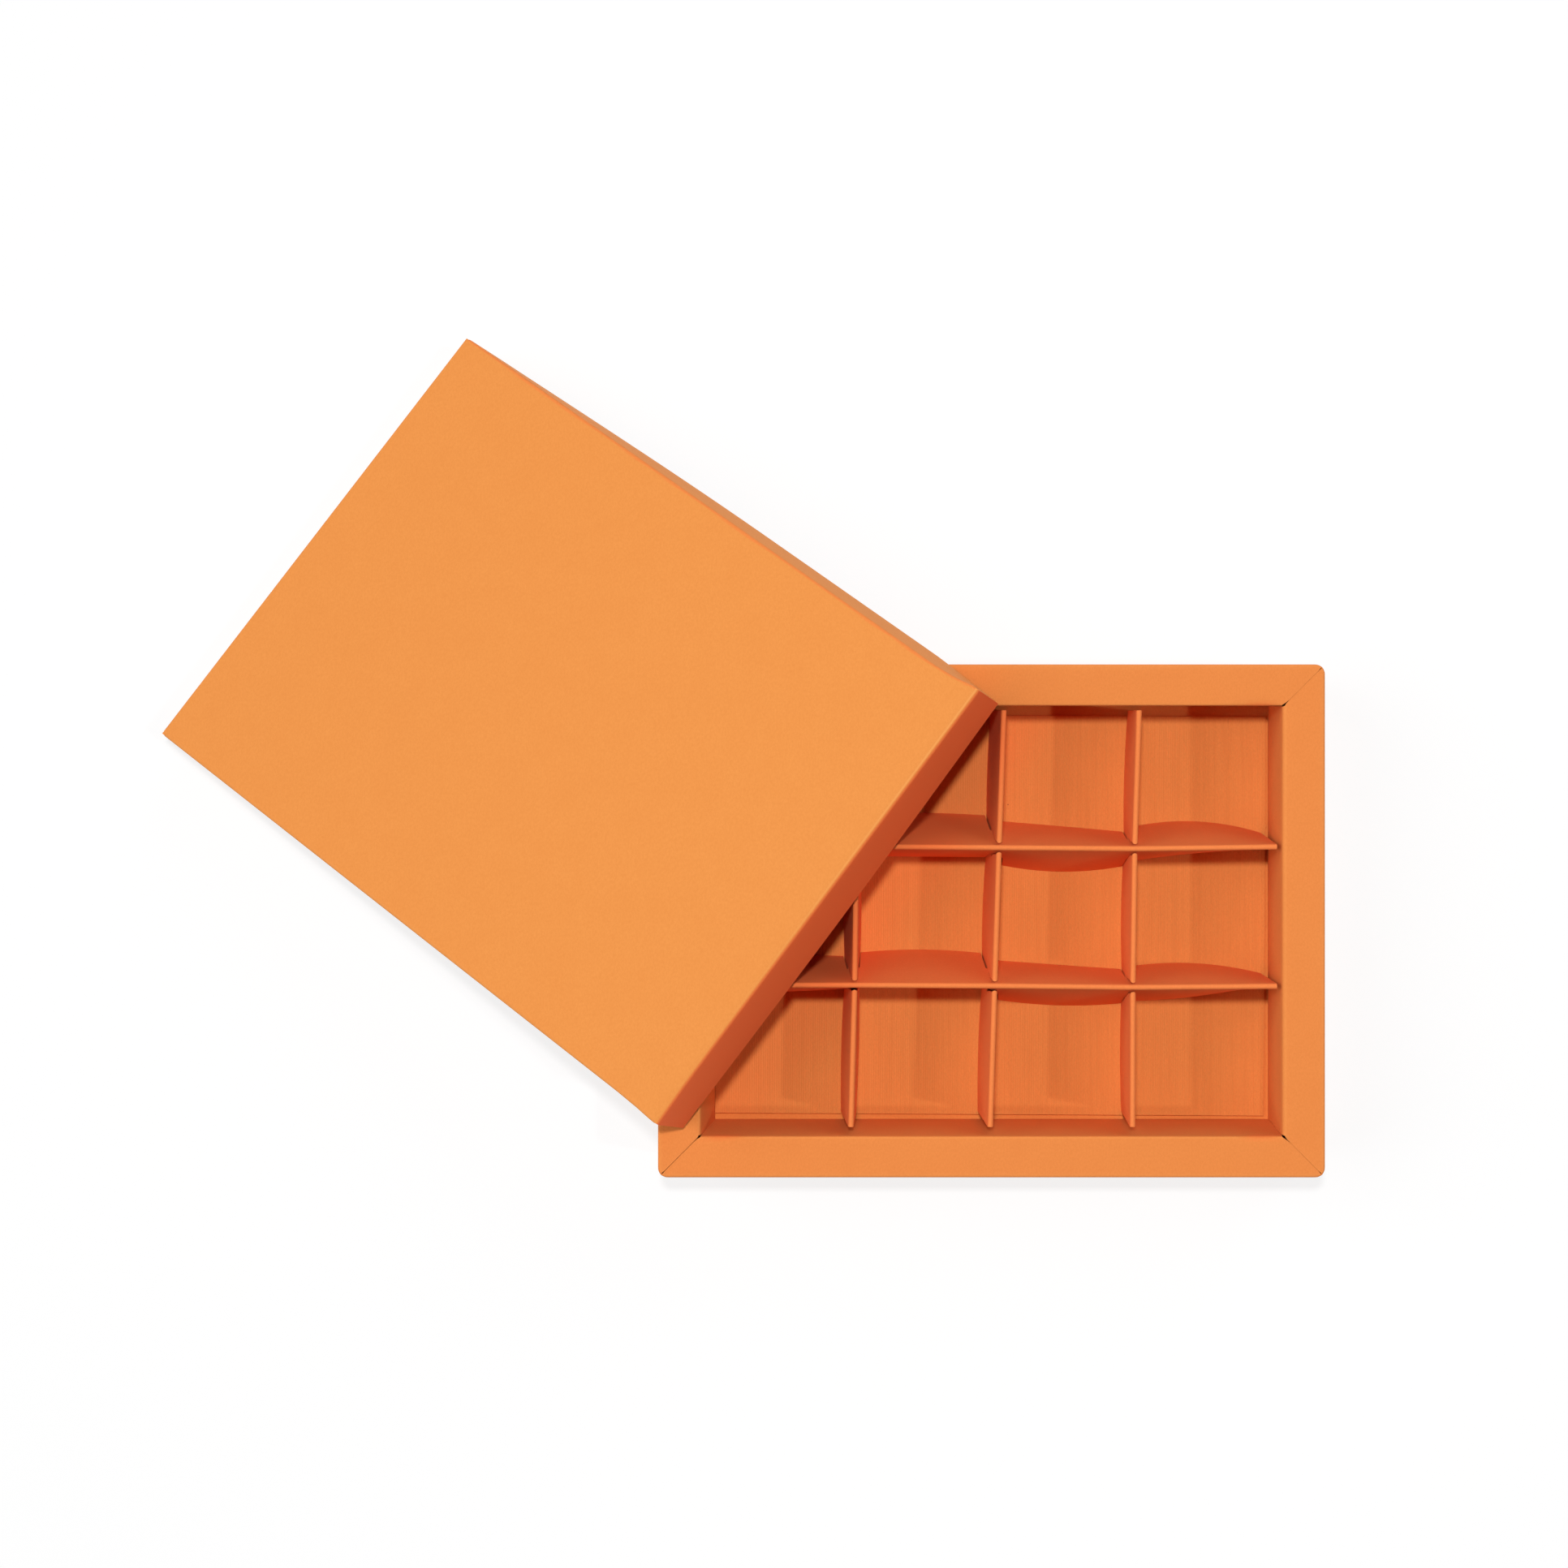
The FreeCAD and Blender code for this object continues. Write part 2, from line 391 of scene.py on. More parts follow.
@dataclass
class FoldedSheet:
    """One ply of board: a skin of quads with its outer face outwards, thickened at the end."""

    points: list[Vector] = field(default_factory=list)
    wears_and_painted_light: list[float] = field(default_factory=list)
    faces: list[tuple[int, ...]] = field(default_factory=list)

    def add_grid(
        self, rows: Sequence[Row], keep: Callable[[int, int], bool] | None = None, flip: bool = False,
    ) -> None:
        """Add a grid of quads; its outer face has the columns to the right as the rows go up.

        Args:
            rows: Rows of points, each with its value: 1 for pale rubbed folds and painted highlight, -1
                for painted shade.
            keep: Says by row and column whether a quad is there; all are if it is left out.
            flip: Turns the outer face round.
        """
        start, width = len(self.points), len(rows[0])
        for row in rows:
            self.points += [point for point, _ in row]
            self.wears_and_painted_light += [wear_and_painted_light for _, wear_and_painted_light in row]
        for i in range(len(rows) - 1):
            for j in range(width - 1):
                if keep is None or keep(i, j):
                    low = start + i * width + j
                    quad = (low, low + 1, low + width + 1, low + width)
                    self.faces.append(quad[::-1] if flip else quad)

    def thick(self, name: str) -> Mesh:
        """Weld the skin's touching edges and give it the board's thickness, inwards.

        Args:
            name: Name of the mesh.

        Returns:
            A plain mesh in metres, with its rubbed paleness and painted light.
        """
        net = bmesh.new()
        wear_and_painted_light = net.verts.layers.float.new(WEAR_AND_PAINTED_LIGHT)
        corners = [net.verts.new(point * MM) for point in self.points]
        for corner, amount in zip(corners, self.wears_and_painted_light):
            corner[wear_and_painted_light] = amount
        for face in self.faces:
            net.faces.new([corners[index] for index in face])
        bmesh.ops.delete(net, geom=[c for c in corners if not c.link_faces], context="VERTS")
        bmesh.ops.remove_doubles(net, verts=net.verts[:], dist=WELD * MM)
        ply = in_scene(name, net_mesh(net, name))
        solid = ply.modifiers.new("thickness", "SOLIDIFY")
        solid.thickness = BOARD * MM
        solid.offset = -1.0
        solid.use_even_offset = True
        return plain_mesh(ply)


def folded_mesh(name: str, *sheets: FoldedSheet) -> Mesh:
    """Join plies of board into one mesh.

    Args:
        name: Name of the piece.
        sheets: Its plies.

    Returns:
        The mesh, in metres.
    """
    net = bmesh.new()
    for sheet in sheets:
        ply = sheet.thick(name)
        net.from_mesh(ply)
        bpy.data.meshes.remove(ply)
    return net_mesh(net, name)


def stand_for(name: str, mesh: Mesh, finish: Material, node: str) -> None:
    """Let a finished piece take a frame node's place on the body of the same name.

    Args:
        name: Name of the piece.
        mesh: Its mesh, in place.
        finish: Its material.
        node: Name of the node and its body.
    """
    mesh.materials.clear()
    mesh.materials.append(finish)
    mesh.shade_smooth()
    mesh.set_sharp_from_angle(angle=math.radians(CREASE))
    piece = in_scene(name, mesh)
    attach(piece, node)
    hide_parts(node)
    log.info("%s: %d faces, stands for %s", piece.name, len(piece.data.polygons), node)


class Side(Enum):
    """Sides of a box, counter-clockwise; each starts at the corner of its own number."""

    FRONT = 0
    RIGHT = 1
    BACK = 2
    LEFT = 3

    @property
    def is_long(self) -> bool:
        """Whether the side runs along the box's length."""
        return self in (Side.FRONT, Side.BACK)

    def flat(self, along: float, out: float) -> Pair:
        """Place on the flat, by how far along the side and how far out from the middle it lies."""
        return ((along, -out), (out, along), (-along, out), (-out, -along))[self.value]


@dataclass(frozen=True)
class Outline:
    """Rectangle with rounded corners that a box's walls are folded round."""

    half_length: float
    half_width: float
    radius: float

    def reach(self, side: Side) -> float:
        """Distance from the middle to a side."""
        return self.half_width if side.is_long else self.half_length

    def half_run(self, side: Side) -> float:
        """Half the length of a side."""
        return self.half_length if side.is_long else self.half_width

    def rounded(self, x: float, y: float) -> Pair:
        """Bend a place in a square corner onto the round one.

        Args:
            x: Place along the length.
            y: Place along the width.

        Returns:
            The bent place, or the same one away from the corners.
        """
        flat_x, flat_y = self.half_length - self.radius, self.half_width - self.radius
        far_x = (abs(x) - flat_x) / self.radius
        far_y = (abs(y) - flat_y) / self.radius
        if far_x <= 0 or far_y <= 0:
            return x, y
        bent_x = flat_x + self.radius * far_x * math.sqrt(max(1 - far_y * far_y / 2, 0.0))
        bent_y = flat_y + self.radius * far_y * math.sqrt(max(1 - far_x * far_x / 2, 0.0))
        return math.copysign(bent_x, x), math.copysign(bent_y, y)

    def place(self, side: Side, along: float, depth: float, height: float) -> Vector:
        """Point of a wall, by its place along the side and its depth inside the outline."""
        flat = side.flat(along, self.reach(side) - depth)
        return Vector((*self.rounded(*flat), height))

    def panel(self, margin: float, height: float) -> list[Row]:
        """Grid of the flat panel between folds of the margin's width."""
        half_length, half_width = self.half_length - margin, self.half_width - margin
        return [[(Vector((*self.rounded(x, y), height)), 0.0) for x in spread(-half_length, half_length)]
                for y in spread(-half_width, half_width)]


@dataclass
class BaseTray:
    """Tray folded from one blank: bottom panel, outer walls, mitred ledge and inner walls.

    What differs from side to side is given by side, and at the seams by corner.
    """

    length: float = 182.0
    width: float = 140.0
    height: float = BASE_HEIGHT
    ledge: float = 11.6
    corner_radius: float = 2.7
    foot_fold: float = 0.6
    outer_fold: float = 0.7
    inner_folds: Sides = (0.7, 1.2, 0.6, 0.8)
    inner_bows: Sides = (0.15, 0.6, 0.0, 0.3)
    bow_power: int = 8
    foot_leans: Sides = (-0.05, 0.9, 2.0, 0.0)
    rim_setbacks: Sides = (0.35, 0.0, 0.3, 0.0)
    dent: float = 0.5
    # Painted shade laid in the dents, as a share of the deeper red.
    dent_shade: float = -0.45
    dent_length: float = 12.5
    dent_width: float = 1.3
    dent_drop: Pair = (3.0, 1.0)
    seams: Sides = (0.08, 0.03, 0.03, 0.05)
    notches: Sides = (0.45, 0.6, 0.55, 0.4)
    corner_gaps: Sides = (0.0, 0.06, 0.12, 0.0)
    notch_drop: float = 2.5
    tip: float = 0.15
    tip_reach: float = 2.1
    ledge_dip: float = 0.25
    rub: float = 0.15
    inner_foot: float = 0.5
    fold_steps: tuple[int, int, int] = (4, 5, 6)
    flat_steps: tuple[int, int, int] = (6, 10, 8)

    @property
    def outline(self) -> Outline:
        """Outer outline of the tray."""
        return Outline(self.length / 2, self.width / 2, self.corner_radius)

    def rim(self, side: Side) -> float:
        """How far inside the outline a side's inner wall stands at the top."""
        return self.ledge - self.rim_setbacks[side.value]

    def section(self, side: Side) -> list[Triple]:
        """Points across one wall, from the underside up, over the ledge and down to the floor.

        Args:
            side: Side of the tray.

        Returns:
            Depth, height and wear of each point.
        """
        foot, outer, inner = self.foot_fold, self.outer_fold, self.inner_folds[side.value]
        brim, rim = self.height - self.ledge_dip, self.rim(side)
        foot_steps, outer_steps, inner_steps = self.fold_steps
        wall_steps, ledge_steps, drop_steps = self.flat_steps
        wall = [(foot, 0.0), *arc((foot, foot), foot, UNDER, foot_steps)]
        wall += straight(wall[-1], (0.0, self.height - outer), wall_steps)
        crown = arc((outer, self.height - outer), outer, OUTER, outer_steps)
        ledge = straight(crown[-1], (rim - inner, brim), ledge_steps)
        lip = arc((rim - inner, brim - inner), inner, UPPER, inner_steps)
        drop = straight(lip[-1], (rim, self.inner_foot), drop_steps)
        rubbed = {*crown, *lip}
        path = wall + crown + ledge + lip + drop
        return [(*spot, self.rub if spot in rubbed else 0.0) for spot in path]

    def seam(self, side: Side, corner: int, depth: float, height: float) -> float:
        """How far a side stands back from a corner's mitre: most at its tip and its notch.

        Args:
            side: Side of the tray.
            corner: Number of the corner.
            depth: Depth of the point.
            height: Height of the point.

        Returns:
            The distance, along the side.
        """
        if depth < self.outer_fold / 2:
            return 0.0
        notch, rim = self.notches[corner], self.rim(side)
        tip = self.tip * (1 - smooth_step(self.outer_fold / 2, self.tip_reach, depth))
        mitre = self.seams[corner] + notch * smooth_step(rim - 2 * notch, rim - notch / 2, depth)
        below = smooth_step(0.0, self.notch_drop, self.height - height)
        gap = self.corner_gaps[corner] * math.sin(math.pi * height / self.height)
        return tip + mitre * (1 - below) + gap * below

    def pressed(self, side: Side, along: float, depth: float, height: float) -> float:
        """How far down a point lies in the dents that the glued corners press into the long rims.

        Args:
            side: Side of the tray.
            along: Place along the side, from its middle.
            depth: Depth of the point.
            height: Height of the point.

        Returns:
            1 at the bottom of a dent, 0 outside the dents.
        """
        if not side.is_long:
            return 0.0
        from_corner = self.outline.half_run(side) - self.ledge - abs(along)
        lens = math.sin(math.pi * min(max(from_corner / self.dent_length, 0.0), 1.0))
        low, high = self.dent_drop
        inward = smooth_step(self.rim(side) - self.dent_width, self.rim(side), depth)
        return lens * inward * smooth_step(self.height - low, self.height - high, height)

    def wall(self, side: Side) -> list[Row]:
        """Grid of one folded side.

        Args:
            side: Side of the tray.

        Returns:
            Its rows, from the underside to the foot of the inner wall.
        """
        first, last = side.value, (side.value + 1) % len(Side)
        rows = []
        for depth, height, wear_and_painted_light in self.section(side):
            half = self.outline.half_run(side) - depth
            inner = 1.0 if depth > self.rim(side) - BOARD else 0.0
            drop = inner * (1 - height / self.height)
            ends = []
            for corner, beside in ((first, first - 1), (last, last)):
                beyond = inner * self.rim_setbacks[beside] + self.foot_leans[beside] * drop
                ends.append(half + beyond - self.seam(side, corner, depth, height))
            row = []
            for along in spread(-ends[0], ends[1]):
                slack = math.sin(math.pi * drop) * (1 - min(abs(along) / half, 1.0) ** self.bow_power)
                inset = depth + self.inner_bows[first] * slack - self.foot_leans[first] * drop
                pressed = self.pressed(side, along, depth, height)
                place = self.outline.place(side, along, inset, height - self.dent * pressed)
                # Painted shade in the dents: the point's value moves towards dent_shade.
                row.append((place, wear_and_painted_light + (self.dent_shade - wear_and_painted_light) * pressed))
            rows.append(row)
        return rows

    def build(self) -> FoldedSheet:
        """Fold the tray.

        Returns:
            Its one sheet.
        """
        sheet = FoldedSheet()
        for side in Side:
            sheet.add_grid(self.wall(side))
        sheet.add_grid(self.outline.panel(self.foot_fold, 0.0), flip=True)
        return sheet

    def dress(self, finish: Material) -> None:
        """Build the tray and put it on its body."""
        mesh = folded_mesh("tray_board", self.build())
        stand_for("tray_board", mesh, finish, "base_tray")


@dataclass
class FloorPad:
    """Loose card on the tray's bottom, ribbed across its top and lying a little askew."""

    length: float = 158.2
    width: float = 115.2
    middle: Pair = (0.1, 0.3)
    turn: float = -0.3
    bottom: float = 0.45
    top: float = PAD_TOP
    edge_round: float = 0.15
    edge_segments: int = 2
    edge_profile: float = 0.5
    nub: float = 0.45
    nub_half: float = 0.6
    nub_places: Triple = (26.1, -2.9, -31.9)
    rib_width: float = 0.7
    rib_height: float = 0.05
    rib_sides: int = 10
    least_uneven: Triple = (0.9, 1.0, 0.7)
    most_uneven: Triple = (1.05, 1.0, 1.15)
    seed: int = 7

    @property
    def rib_sizes(self) -> dict[str, float]:
        """Sizes of the ribs, by the name of their input."""
        return {"Pitch": RIB_PITCH, "Rib Width": self.rib_width, "Rib Height": self.rib_height,
                "Run": self.width - 2 * self.edge_round, "Span": self.length - RIB_PITCH, "Top": self.top}

    def card(self) -> Mesh:
        """Body of the card, with the die's nubs on its right edge.

        Returns:
            The mesh, in metres.
        """
        end, edge = self.length / 2, self.width / 2
        nub_steps = (-self.nub_half, 0.0, self.nub_half)
        places = sorted({-edge, edge, *(spot + step for spot in self.nub_places for step in nub_steps)})
        ring = [(end + (self.nub if y in self.nub_places else 0.0), y) for y in places]
        ring += [(-end, edge), (-end, -edge)]
        net = bmesh.new()
        face = net.faces.new([net.verts.new(Vector((x, y, self.bottom)) * MM) for x, y in ring])
        lifted = bmesh.ops.extrude_face_region(net, geom=[face])["geom"]
        raised = [item for item in lifted if isinstance(item, bmesh.types.BMVert)]
        bmesh.ops.translate(net, verts=raised, vec=Vector((0.0, 0.0, self.top - self.bottom)) * MM)
        bmesh.ops.recalc_face_normals(net, faces=net.faces[:])
        rim = [edge for edge in net.edges if all(corner in raised for corner in edge.verts)]
        bmesh.ops.bevel(net, geom=rim, offset=self.edge_round * MM, segments=self.edge_segments,
                        profile=self.edge_profile, affect="EDGES")
        return net_mesh(net, "pad_card")

    def rib_tree(self, finish: Material) -> NodeTree:
        """Geometry Nodes that lay low round ribs side by side on the card.

        Args:
            finish: Material of the card.

        Returns:
            The tree, with the ribs' sizes as named inputs.
        """
        tree = bpy.data.node_groups.new("pad_ribs", "GeometryNodeTree")
        tree.interface.new_socket("Card", in_out="INPUT", socket_type="NodeSocketGeometry")
        for name in self.rib_sizes:
            tree.interface.new_socket(name, in_out="INPUT", socket_type="NodeSocketFloat")
        tree.interface.new_socket("Ribbed Card", in_out="OUTPUT", socket_type="NodeSocketGeometry")
        given = add_node(tree, "NodeGroupInput").outputs
        count, left, front, back, tall = (
            add_node(tree, "ShaderNodeMath", {"operation": kind}, {0: given[name], 1: by}).outputs[0]
            for kind, name, by in (
                ("DIVIDE", "Span", given["Pitch"]), ("MULTIPLY", "Span", -0.5), ("MULTIPLY", "Run", -0.5),
                ("MULTIPLY", "Run", 0.5), ("MULTIPLY", "Rib Height", 2.0)))
        first, step, start, end, size = (
            add_node(tree, "ShaderNodeCombineXYZ", inputs=parts).outputs[0] for parts in (
                {"X": left, "Z": given["Top"]}, {"X": given["Pitch"]}, {"Y": front}, {"Y": back},
                {"X": given["Rib Width"], "Y": 1.0, "Z": tall}))
        line = add_node(tree, "GeometryNodeMeshLine", inputs={
            "Count": count, "Start Location": first, "Offset": step})
        run = add_node(tree, "GeometryNodeCurvePrimitiveLine", inputs={"Start": start, "End": end})
        ring = add_node(tree, "GeometryNodeCurvePrimitiveCircle", inputs={
            "Resolution": self.rib_sides, "Radius": 0.5})
        bar = add_node(tree, "GeometryNodeCurveToMesh", inputs={
            "Curve": run.outputs[0], "Profile Curve": ring.outputs[0], "Fill Caps": True})
        rib = add_node(tree, "GeometryNodeTransform", inputs={"Geometry": bar.outputs[0], "Scale": size})
        uneven = add_node(tree, "FunctionNodeRandomValue", {"data_type": "FLOAT_VECTOR"}, {
            0: self.least_uneven, 1: self.most_uneven, "Seed": self.seed})
        ribs = add_node(tree, "GeometryNodeInstanceOnPoints", inputs={
            "Points": line.outputs[0], "Instance": rib.outputs[0], "Scale": uneven.outputs[0]})
        joined = add_node(tree, "GeometryNodeJoinGeometry", inputs={0: ribs.outputs[0]})
        tree.links.new(given["Card"], joined.inputs[0])
        real = add_node(tree, "GeometryNodeRealizeInstances", inputs={"Geometry": joined.outputs[0]})
        dyed = add_node(tree, "GeometryNodeSetMaterial", inputs={
            "Geometry": real.outputs[0], "Material": finish})
        add_node(tree, "NodeGroupOutput", inputs={0: dyed.outputs[0]})
        return tree

    def build(self, finish: Material) -> Mesh:
        """Cut the card and rib it.

        Args:
            finish: Material of the card.

        Returns:
            Its mesh, in place.
        """
        blank = in_scene("pad_blank", self.card())
        ribs = blank.modifiers.new("ribs", "NODES")
        ribs.node_group = self.rib_tree(finish)
        for socket in ribs.node_group.interface.items_tree:
            if socket.name in self.rib_sizes:
                ribs[socket.identifier] = self.rib_sizes[socket.name] * MM
        mesh = plain_mesh(blank)
        turned = Matrix.Rotation(math.radians(self.turn), 4, "Z")
        mesh.transform(Matrix.Translation(Vector((*self.middle, 0.0)) * MM) @ turned)
        return mesh

    def dress(self, finish: Material) -> None:
        """Build the card and put it on its body."""
        stand_for("ribbed_pad", self.build(finish), finish, "floor_pad")


class Run(Enum):
    """Ways that a divider strip runs."""

    LONG = "long"
    CROSS = "cross"


class Leaf(Enum):
    """The two leaves of a strip folded double, as signs across it."""

    LEFT = 1
    RIGHT = -1


@dataclass
class DividerStrip:
    """Strip of board folded double over its top; each leaf stands off the fold cell by cell.

    The fold's line is given at the strip's ends and crossings, and a leaf's splay at the floor by
    the start, middle and end of each cell.
    """

    name: str
    run: Run
    line: tuple[float, ...]
    left: tuple[Triple, ...]
    right: tuple[Triple, ...]
    half_length: float
    fold_top: float = 34.0
    fold_radius: float = 0.75
    foot_gap: float = 0.1
    slot_level: float = 17.8
    slot_play: float = 0.3
    tip_gap: float = 0.5
    tip_round: float = 0.6
    shift: float = 0.0
    heel: float = 0.0
    rub: float = 0.12
    low_steps: int = 6
    high_steps: int = 8
    fold_steps: int = 8
    cell_steps: int = 14
    crossings: list[float] = field(default_factory=list)
    others: list["DividerStrip"] = field(default_factory=list)
    index: int = 0

    @property
    def ends(self) -> Pair:
        """Places of the fold's two ends along the strip."""
        return self.shift - self.half_length, self.shift + self.half_length

    @property
    def foot(self) -> float:
        """Height of the leaves' lower edges."""
        return PAD_TOP + self.foot_gap

    @property
    def leaf_top(self) -> float:
        """Height where the leaves leave the fold."""
        return self.fold_top - self.fold_radius

    def splay(self, leaf: Leaf, cell: int, share: float) -> float:
        """How far a leaf's foot stands off the fold: a bow through the cell's start, middle and end."""
        start, middle, end = (self.left if leaf is Leaf.LEFT else self.right)[cell]
        return start + (4 * middle - 3 * start - end + 2 * (start + end - 2 * middle) * share) * share

    def stand_off(self, splay: float, height: float) -> float:
        """How far a leaf stands off the fold's line at a height, from its splay at the floor."""
        drop = (self.leaf_top - height) / (self.leaf_top - self.foot)
        return self.fold_radius + (splay - self.fold_radius) * min(max(drop, 0.0), 1.0)

    def at_crossing(self, leaf: Leaf, crossing: int, height: float) -> float:
        """How far a leaf stands off the fold's line where another strip crosses."""
        splay = (self.splay(leaf, crossing, 1.0) + self.splay(leaf, crossing + 1, 0.0)) / 2
        return self.stand_off(splay, height)

    def slot_edge(self, crossing: int, direction: int, height: float, across: float) -> float:
        """Place of a slot's edge along the strip: it follows the leaf of the strip in it.

        Args:
            crossing: Number of the crossing.
            direction: -1 for the slot's first edge, 1 for its second.
            height: Height of the point.
            across: Share of the fold's radius across the fold.

        Returns:
            The place.
        """
        is_long = self.run is Run.LONG
        leaf = Leaf.LEFT if (direction < 0) == is_long else Leaf.RIGHT
        level = min(height, self.slot_level) if is_long else max(height, self.slot_level)
        reach = self.others[crossing].at_crossing(leaf, self.index, level) + self.slot_play
        if not is_long:
            tip = self.tip_round * (1 - math.sqrt(max(1 - across * across, 0.0)))
            reach = max(reach, self.fold_radius + self.tip_gap + tip)
        return self.crossings[crossing] + direction * reach

    def section(self) -> list[tuple[Leaf, float, float]]:
        """Rows across the strip, from the right foot over the fold to the left foot.

        Returns:
            Leaf, height, and the share of the fold's radius across it.
        """
        levels = [self.foot]
        for goal, steps in ((self.slot_level, self.low_steps), (self.leaf_top, self.high_steps)):
            levels += [height for _, height in straight((0.0, levels[-1]), (0.0, goal), steps)]
        rows = [(Leaf.RIGHT, level, 1.0) for level in levels]
        for step in range(1, self.fold_steps):
            angle = math.pi * step / self.fold_steps
            leaf = Leaf.RIGHT if step < self.fold_steps / 2 else Leaf.LEFT
            rows.append((leaf, self.leaf_top + self.fold_radius * math.sin(angle), abs(math.cos(angle))))
        return rows + [(Leaf.LEFT, level, 1.0) for level in reversed(levels)]

    def columns(self) -> list[tuple[int, float, bool]]:
        """Columns along the strip: cell, place in it from 0 to 1, and whether a slot's quad starts."""
        shares = [step / self.cell_steps for step in range(self.cell_steps + 1)]
        return [(cell, share, share == 1 and cell < len(self.crossings))
                for cell in range(len(self.left)) for share in shares]

    def fold_line(self, along: float) -> float:
        """Place of the fold across the strip's run.

        Args:
            along: Place along the strip.

        Returns:
            The place, between those of the ends and crossings on both sides.
        """
        cell = sum(along > crossing for crossing in self.crossings)
        stations = [self.ends[0], *self.crossings, self.ends[1]]
        share = (along - stations[cell]) / (stations[cell + 1] - stations[cell])
        return self.line[cell] + (self.line[cell + 1] - self.line[cell]) * share

    def point(self, leaf: Leaf, height: float, across: float, cell: int, share: float) -> Vector:
        """Point of the strip.

        Args:
            leaf: Which leaf.
            height: Height of the point.
            across: Share of the fold's radius across the fold.
            cell: Number of the cell.
            share: Place in the cell, from 0 to 1.

        Returns:
            The point, in the tray's frame.
        """
        low, high = self.ends
        high += self.heel * max(1 - height / self.leaf_top, 0.0)
        if cell > 0:
            low = self.slot_edge(cell - 1, 1, height, across)
        if cell < len(self.crossings):
            high = self.slot_edge(cell, -1, height, across)
        along = low + (high - low) * share
        off = self.fold_radius * across
        if height <= self.leaf_top:
            off = self.stand_off(self.splay(leaf, cell, share), height)
        line = self.fold_line(along)
        if self.run is Run.LONG:
            return Vector((along, line + leaf.value * off, height))
        return Vector((line - leaf.value * off, along, height))

    def build(self) -> FoldedSheet:
        """Fold the strip and cut its slots.

        Returns:
            Its one sheet.
        """
        section, columns = self.section(), self.columns()
        rows = []
        for leaf, height, across in section:
            wear_and_painted_light = self.rub if height > self.leaf_top else 0.0
            rows.append([(self.point(leaf, height, across, cell, share), wear_and_painted_light)
                         for cell, share, _ in columns])

        def keep(i: int, j: int) -> bool:
            """Leave the slots open: below their level in a long strip, above it in a cross strip."""
            is_above = (section[i][1] + section[i + 1][1]) / 2 > self.slot_level
            return not columns[j][2] or is_above == (self.run is Run.LONG)

        sheet = FoldedSheet()
        sheet.add_grid(rows, keep)
        return sheet

    def dress(self, finish: Material) -> None:
        """Build the strip and put it on its body."""
        piece = f"{self.name}_strip"
        stand_for(piece, folded_mesh(piece, self.build()), finish, self.name)


@dataclass
class DividerCrate:
    """Two long strips over three cross strips, slotted into each other."""

    long_half: float = 78.0
    cross_half: float = 56.9
    cross_shift: float = 0.6
    cross_heel: float = 1.8
    west_bulge: float = 0.4
    east_bulge: float = 0.3

    def strips(self) -> list[DividerStrip]:
        """All strips, each knowing where and what it crosses.

        Returns:
            The long strips from the front, then the cross strips from the left.
        """
        long_strips = [
            DividerStrip("long_divider_front", Run.LONG, (-17.6, -17.6, -17.8, -18.2, -17.9),
                         ((6.1, 6.3, 6.1), (7.1, 8.0, 7.1), (5.0, 3.9, 2.9), (3.7, 4.4, 1.4)),
                         ((4.3, 4.3, 3.4), (2.0, 2.0, 2.2), (6.4, 7.8, 7.0), (6.3, 5.2, 2.0)),
                         self.long_half),
            DividerStrip("long_divider_back", Run.LONG, (20.2, 20.3, 20.0, 19.7, 20.2),
                         ((8.0, 8.8, 9.2), (9.4, 9.6, 9.0), (7.3, 6.0, 4.6), (6.0, 7.3, 3.8)),
                         ((3.0, 3.0, 3.0), (3.1, 3.1, 3.1), (5.4, 7.1, 5.4), (3.9, 1.9, 1.0)),
                         self.long_half),
        ]
        cross_strips = []
        for place, line, west, east in (
            ("left", (-38.4, -37.4, -37.0, -36.6), 4.6, -0.2),
            ("middle", (-0.3, 0.9, 2.1, 3.4), 3.3, 1.0),
            ("right", (38.6, 38.7, 39.2, 40.4), 0.8, 1.5),
        ):
            rows = len(line) - 1
            left = ((west, west + self.west_bulge, west),) * rows
            right = ((east, east + self.east_bulge, east),) * rows
            cross_strips.append(DividerStrip(
                f"cross_divider_{place}", Run.CROSS, line, left, right, self.cross_half,
                shift=self.cross_shift, heel=self.cross_heel))
        for strips, others in ((long_strips, cross_strips), (cross_strips, long_strips)):
            for index, strip in enumerate(strips):
                strip.index, strip.others = index, others
                strip.crossings = [other.line[index + 1] for other in others]
        return long_strips + cross_strips

    def dress(self, finish: Material) -> None:
        """Build every strip and put it on its body."""
        for strip in self.strips():
            strip.dress(finish)


